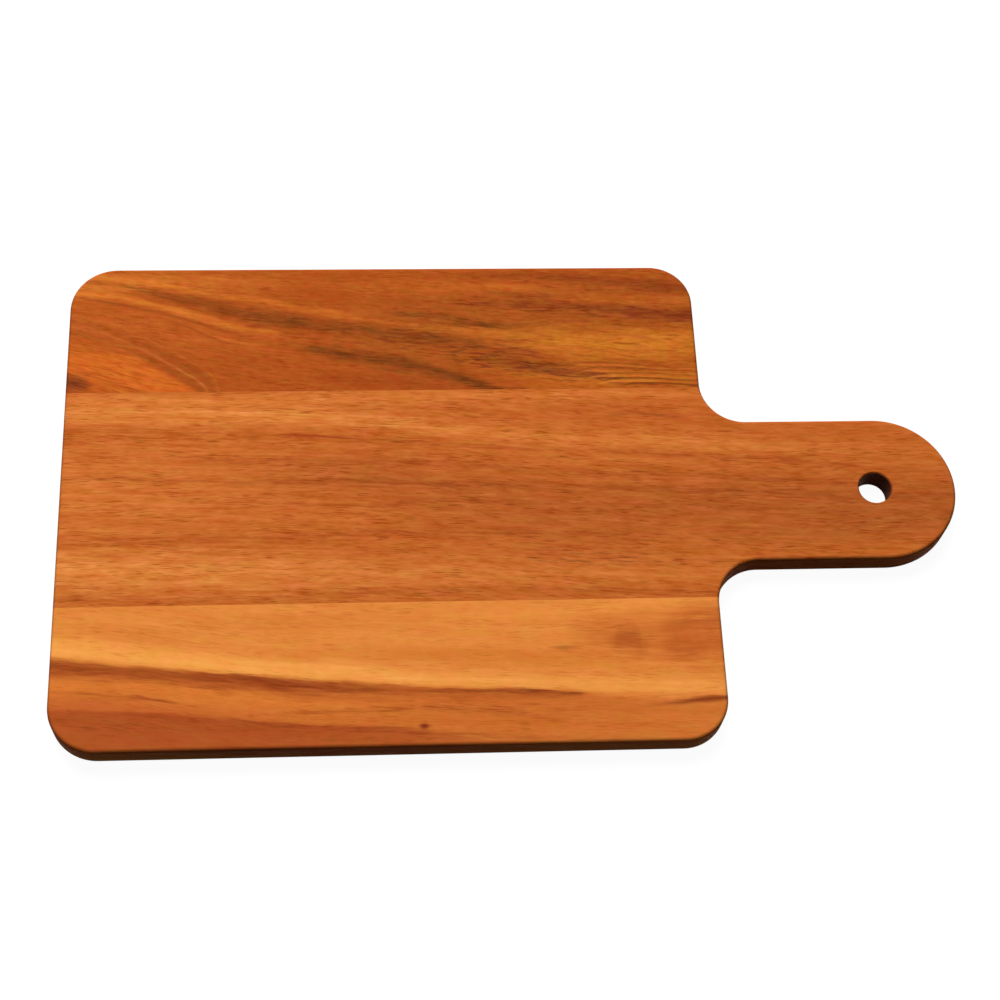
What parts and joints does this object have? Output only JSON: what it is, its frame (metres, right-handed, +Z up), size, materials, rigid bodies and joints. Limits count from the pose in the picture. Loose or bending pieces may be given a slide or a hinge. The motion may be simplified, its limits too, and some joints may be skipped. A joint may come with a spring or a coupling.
{
  "type": "paddle charcuterie board",
  "caption": "Flat paddle-shaped serving board of edge-glued hardwood staves, with rounded corners, a round-ended handle, eased edges and a hanging hole.",
  "frame": {"origin": "under the middle of the overall length and width, on the face that the board rests on", "axes": "+X along the grain to the tip of the handle, +Y across to the back edge, +Z up through the thickness"},
  "size_m": [0.342, 0.2, 0.011],
  "materials": {
    "figured_stave_wood": "oiled, dark streaked figure",
    "straight_stave_wood": "oiled, straight fine grain",
    "sapwood_stave_wood": "oiled, pale sapwood band",
    "cured_glue": "sanded flush with the wood"
  },
  "bodies": {
    "root": {"back_stave": "figured_stave_wood", "centre_stave": "straight_stave_wood", "front_stave": "sapwood_stave_wood", "back_glue_line": "cured_glue", "front_glue_line": "cured_glue"}
  },
  "joints": []
}
